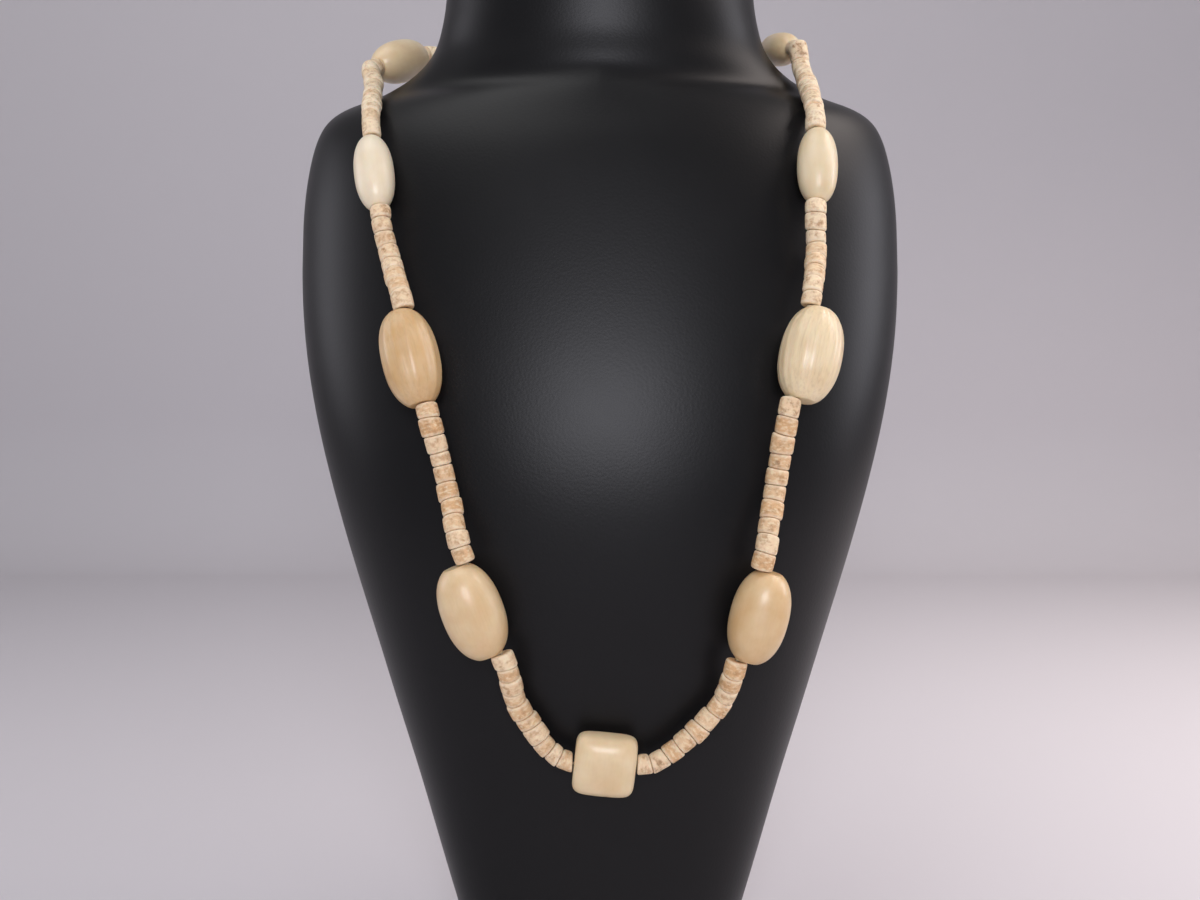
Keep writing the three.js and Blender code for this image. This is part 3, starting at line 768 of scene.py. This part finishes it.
def disc_profile():
    """DISC_FACE, the edge, DISC_SIDE and their mirror image. The edge is a quarter circle, at
    DISC_EDGE * (1 - cos a) from the face and DISC_EDGE * (1 - sin a) under the rim. Returns the way
    along, the radius's fixed length and share, the painted highlight, and where it belongs to the first
    face."""
    angle = np.radians(list(DISC_EDGE_HIGHLIGHT))
    edge = np.stack([
        DISC_EDGE * (1 - np.cos(angle)), DISC_EDGE * (np.sin(angle) - 1),
        np.ones(len(angle)), list(DISC_EDGE_HIGHLIGHT.values()),
    ], axis=-1)
    half = np.vstack([DISC_FACE, edge, DISC_SIDE])
    along, fixed, share, edge_highlight = np.vstack([half, half[::-1] * (-1, 1, 1, 1)]).T[..., None]
    return along, fixed, share, edge_highlight, np.arange(len(along))[:, None] < len(half)


def disc_run(joints, leaving, entering, first):
    """Every disc is the profile turned about its stretch of string, with radius = fixed + share * rim.
    The rim is radius * (1 - DISC_OVALNESS (1 + cos 2a) - DISC_CORNERS (1 + cos 3a)), each lump turned
    by the disc's number. A face lies where lines along the disc meet the plane of the joint, which
    is square to the string but for a small skew, so two neighbours' faces stay parallel."""
    middle, way, out, across = frames_along(joints)
    disc = first + np.arange(len(middle))
    radius = DISC_TRUE * DISC_WIDTH / 2 * (1 + DISC_WIDTH_SPREAD * unevenness(disc, DRAWS["width"]))
    shift = across * DISC_SHIFT * unevenness(disc, DRAWS["shift"])[:, None]
    facing = np.vstack([leaving, joints[2:] - joints[:-2], entering])
    facing /= np.linalg.norm(facing, axis=1, keepdims=True)
    skew = np.tan(np.radians(FACE_SKEW)) * unevenness(disc[1:], DRAWS["skew"])[..., None]
    facing[1:-1] += skew[0] * out[1:] + skew[1] * across[1:]
    each = disc[:, None, None]
    angle = 2 * np.pi * np.arange(DISC_COLUMNS) / DISC_COLUMNS
    two_sided = DISC_OVALNESS * (1 + np.cos(2 * angle + 5 * each))
    three_sided = DISC_CORNERS * (1 + np.cos(3 * angle - 3 * each))
    along, fixed, share, edge_highlight, first_face = disc_profile()
    ring = fixed + share * radius[:, None, None] * (1 - two_sided - three_sided)
    cosine, sine = ring * np.cos(angle), ring * np.sin(angle)

    def along_to(joint, plane):
        """How far along each line of the disc meets a plane through the joint."""
        lines = np.stack([joint - middle - shift, out, across, way])
        offset, tilt_out, tilt_across, lead = np.sum(lines * plane, axis=-1)[..., None, None]
        return (offset - tilt_out * cosine - tilt_across * sine) / lead

    start = along_to(joints[:-1], facing[:-1]) + FACE_GAP / 2
    finish = along_to(joints[1:], facing[1:]) - FACE_GAP / 2
    along = along + np.where(first_face, start, finish)
    points = (
        (middle + shift)[:, None, None, :] + along[..., None] * way[:, None, None, :]
        + cosine[..., None] * out[:, None, None, :] + sine[..., None] * across[:, None, None, :]
    )
    apart = DISC_GRAIN_APART * each
    paler = np.clip((middle[:, 2] - PALER_FROM) / PALER_OVER, 0, 1)
    tone = DISC_TONE + DISC_TONE_SPREAD * unevenness(disc, DRAWS["tone"]) - PALER_BY * paler
    stain = 0.5 + 0.5 * unevenness(disc, DRAWS["stain"])
    return points, {
        "grain_place": np.stack([along + apart, cosine + apart, sine - apart], axis=-1),
        "tone": np.broadcast_to(tone[:, None, None], ring.shape),
        "stain": np.broadcast_to(stain[:, None, None], ring.shape),
        # How much painted highlight each point of a disc carries
        "edge_highlight": np.broadcast_to(edge_highlight, ring.shape),
    }


def sawn_bone():
    """Bone as the saw and the drill left it, worn smooth only by handling: matt, peach to cream,
    with brown mottles, fine bands from the saw, stains in some discs and a painted highlight on the
    edges."""
    material, tree = new_material("sawn_bone")
    grain = attribute(tree, "grain_place", "Vector")
    tone = attribute(tree, "tone")
    stain = attribute(tree, "stain")
    edge_highlight = attribute(tree, "edge_highlight")
    mottle = noise(tree, grain, MOTTLES_PER_MM, 5, 0.62)
    drawn = add_node(tree, "ShaderNodeMapping", {
        "Vector": grain, "Scale": BANDS_PER_MM,
    }).outputs["Vector"]
    band = noise(tree, drawn, 1, 4)
    dark = reckoned(tree, "MULTIPLY", stain, mottle)
    layers = {
        "mottle": ranged(tree, mottle, from_min=0.46, from_max=0.66, to_max=0.75),
        "band": ranged(tree, band, from_min=0.48, from_max=0.66, to_max=0.6),
        "stain": ranged(tree, dark, from_min=0.54, from_max=0.68, to_max=0.5),
        # Painted highlight: the eased edges are painted paler where they catch the light
        "lightened": reckoned(tree, "MULTIPLY", edge_highlight, EDGE_HIGHLIGHT_STRENGTH),
    }
    colour = blended(tree, tone, linear(SAWN_COLOURS["pale"]), linear(SAWN_COLOURS["tan"]))
    for layer, share in layers.items():
        colour = blended(tree, share, colour, linear(SAWN_COLOURS[layer]))
    shade(tree, {
        "Base Color": colour,
        "Roughness": 0.62,
        "IOR": 1.54,
        "Subsurface Weight": 0.2,
        "Subsurface Radius": (1, 0.5, 0.3),
        "Subsurface Scale": 0.001,
        "Normal": relief(tree, mottle, 0.4, MOTTLE_RELIEF),
    })
    return material


def reversed_place(place):
    """The same bead seen from its other end."""
    return {**place, "way": -place["way"], "across": -place["across"],
            "start": place["end"], "end": place["start"]}


clasp_place = seat(1, CLASP_WIDTH, **CLASP_SEAT)
rough_bone = sawn_bone()
string_bends = {}
for side, sign, first in (("right", 1, 0), ("left", -1, FIRST_LEFT_DISC)):
    ends = [centre_place, clasp_place]
    if side == "left":
        ends = [reversed_place(place) for place in ends]
    strung = [ends[0], *(oval_places[f"{side}_oval_{order}"] for order in range(1, 5)), ends[1]]
    string_bends[side] = []
    for order, (thick, straight, passed) in enumerate(RUNS[side]):
        joints = disc_joints(strung[order], strung[order + 1], thick, straight, passed, sign, first)
        points, attributes = disc_run(joints, strung[order]["way"], strung[order + 1]["way"], first)
        run = surface_object(f"{side}_run_{order + 1}_sawn", points, rough_bone, attributes, looped=True)
        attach(run, "root")
        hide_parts(f"{side}_run_{order + 1}")
        string_bends[side] += [strung[order]["end"], *joints, strung[order + 1]["start"]]
        first += len(joints)


# Thread
# Waxed cotton cord of three strands, drawn tight through every hole. It shows only as a dark line
# between two beads, and its two ends are crimped inside the clasp.
THREAD_RADIUS = 0.5
THREAD_END_GAP = 2
THREAD_STEP = 1.1
THREAD_COLUMNS = 12
STRAND_TURN = 6
STRAND_SWELL = 0.1


def thread_tube(bends):
    """A tube along straight stretches between the bends: its radius swells three times round,
    radius * (1 - swell + swell cos(3 (a - 2 pi s / STRAND_TURN))), so the strands wind about it."""
    run = lengths_along(bends)
    along = np.linspace(0, run[-1], int(run[-1] / THREAD_STEP))
    path = np.stack([np.interp(along, run, column) for column in bends.T], axis=-1)
    around = np.vstack([2 * path[0] - path[1], path, 2 * path[-1] - path[-2]])
    _, _, out, across = frames_along((around[:-1] + around[1:]) / 2)
    angle = 2 * np.pi * np.arange(THREAD_COLUMNS) / THREAD_COLUMNS
    winding = np.cos(3 * (angle - 2 * np.pi * along[:, None] / STRAND_TURN))
    radius = THREAD_RADIUS * (1 - STRAND_SWELL + STRAND_SWELL * winding)
    points = (
        path[:, None, :] + (radius * np.cos(angle))[..., None] * out[:, None, :]
        + (radius * np.sin(angle))[..., None] * across[:, None, :]
    )
    return points[None], {"winding": winding[None]}


def waxed_cotton():
    """Waxed cotton: a dull warm cord, with painted shade that darkens the grooves between its strands.
    """
    material, tree = new_material("waxed_cotton")
    winding = attribute(tree, "winding")
    # Painted shade: the cord is coloured darker where its strands meet in a groove
    colour = blended(tree, ranged(tree, winding, from_min=-1), linear("#8d7c61"), linear("#cbbb9d"))
    shade(tree, {"Base Color": colour, "Roughness": 0.85})
    return material


to_end = clasp_place["way"] * THREAD_END_GAP / 2
points, attributes = thread_tube(np.array([
    clasp_place["middle"] + to_end, *string_bends["left"][::-1],
    *string_bends["right"], clasp_place["middle"] - to_end,
]))
thread = surface_object("thread_wound", points, waxed_cotton(), attributes, capped=True)
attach(thread, "root")
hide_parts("thread")


# Clasp
# A small barrel clasp of turned brass at the nape: two halves that screw together at the middle,
# each with two fine ribs to grip, narrowing to the thread.
CLASP_COLUMNS = 64
LATHE_RINGS_PER_MM = 7
LATHE_RELIEF = 0.1
TARNISH_SPOTS_PER_M = 420
# Half its profile, from the thread's hole to the middle: way along and radius
CLASP_PROFILE = np.array([
    (-6.6, 0.95), (-7, 1.2), (-7, 1.5), (-6.8, 1.8), (-5.9, 2.3), (-5.4, 2.5), (-5.1, 2.85), (-4.8, 3),
    (-4.5, 3), (-4.3, 2.8), (-4.1, 2.8), (-3.9, 3), (-3.5, 3), (-3.3, 2.8), (-3.1, 2.8), (-2.9, 3),
    (-0.35, 3), (-0.12, 2.9), (0, 2.65),
])


def clasp_barrel(place):
    """The profile and its mirror image turned about the clasp's way."""
    profile = np.vstack([CLASP_PROFILE, CLASP_PROFILE[-2::-1] * (-1, 1)])
    angle = 2 * np.pi * np.arange(CLASP_COLUMNS) / CLASP_COLUMNS
    along, radius = profile[:, 0, None, None], profile[:, 1, None, None]
    rim = np.cos(angle)[:, None] * place["out"] + np.sin(angle)[:, None] * place["across"]
    points = place["middle"] + along * place["way"] + radius * rim
    turned = np.broadcast_to(profile[:, 0, None], points.shape[:2])
    return points[None], {"lathe_place": turned[None]}


def turned_brass():
    """Lacquered yellow brass from the lathe: a warm mirror drawn out by fine rings round the barrel."""
    material, tree = new_material("turned_brass")
    lathe = attribute(tree, "lathe_place")
    place = add_node(tree, "ShaderNodeTexCoord").outputs["Object"]
    rings = add_node(tree, "ShaderNodeTexNoise", {
        "W": lathe, "Scale": LATHE_RINGS_PER_MM, "Detail": 2,
    }, noise_dimensions="1D").outputs["Fac"]
    tarnish = noise(tree, place, TARNISH_SPOTS_PER_M, 3)
    shade(tree, {
        "Base Color": blended(tree, tarnish, linear("#d9b767"), linear("#a9813f")),
        "Metallic": 1,
        "Roughness": ranged(tree, tarnish, to_min=0.2, to_max=0.42),
        "Normal": relief(tree, rings, 0.2, LATHE_RELIEF),
    })
    return material


points, attributes = clasp_barrel(clasp_place)
clasp = surface_object("clasp_barrel", points, turned_brass(), attributes, looped=True)
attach(clasp, "root")
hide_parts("clasp")
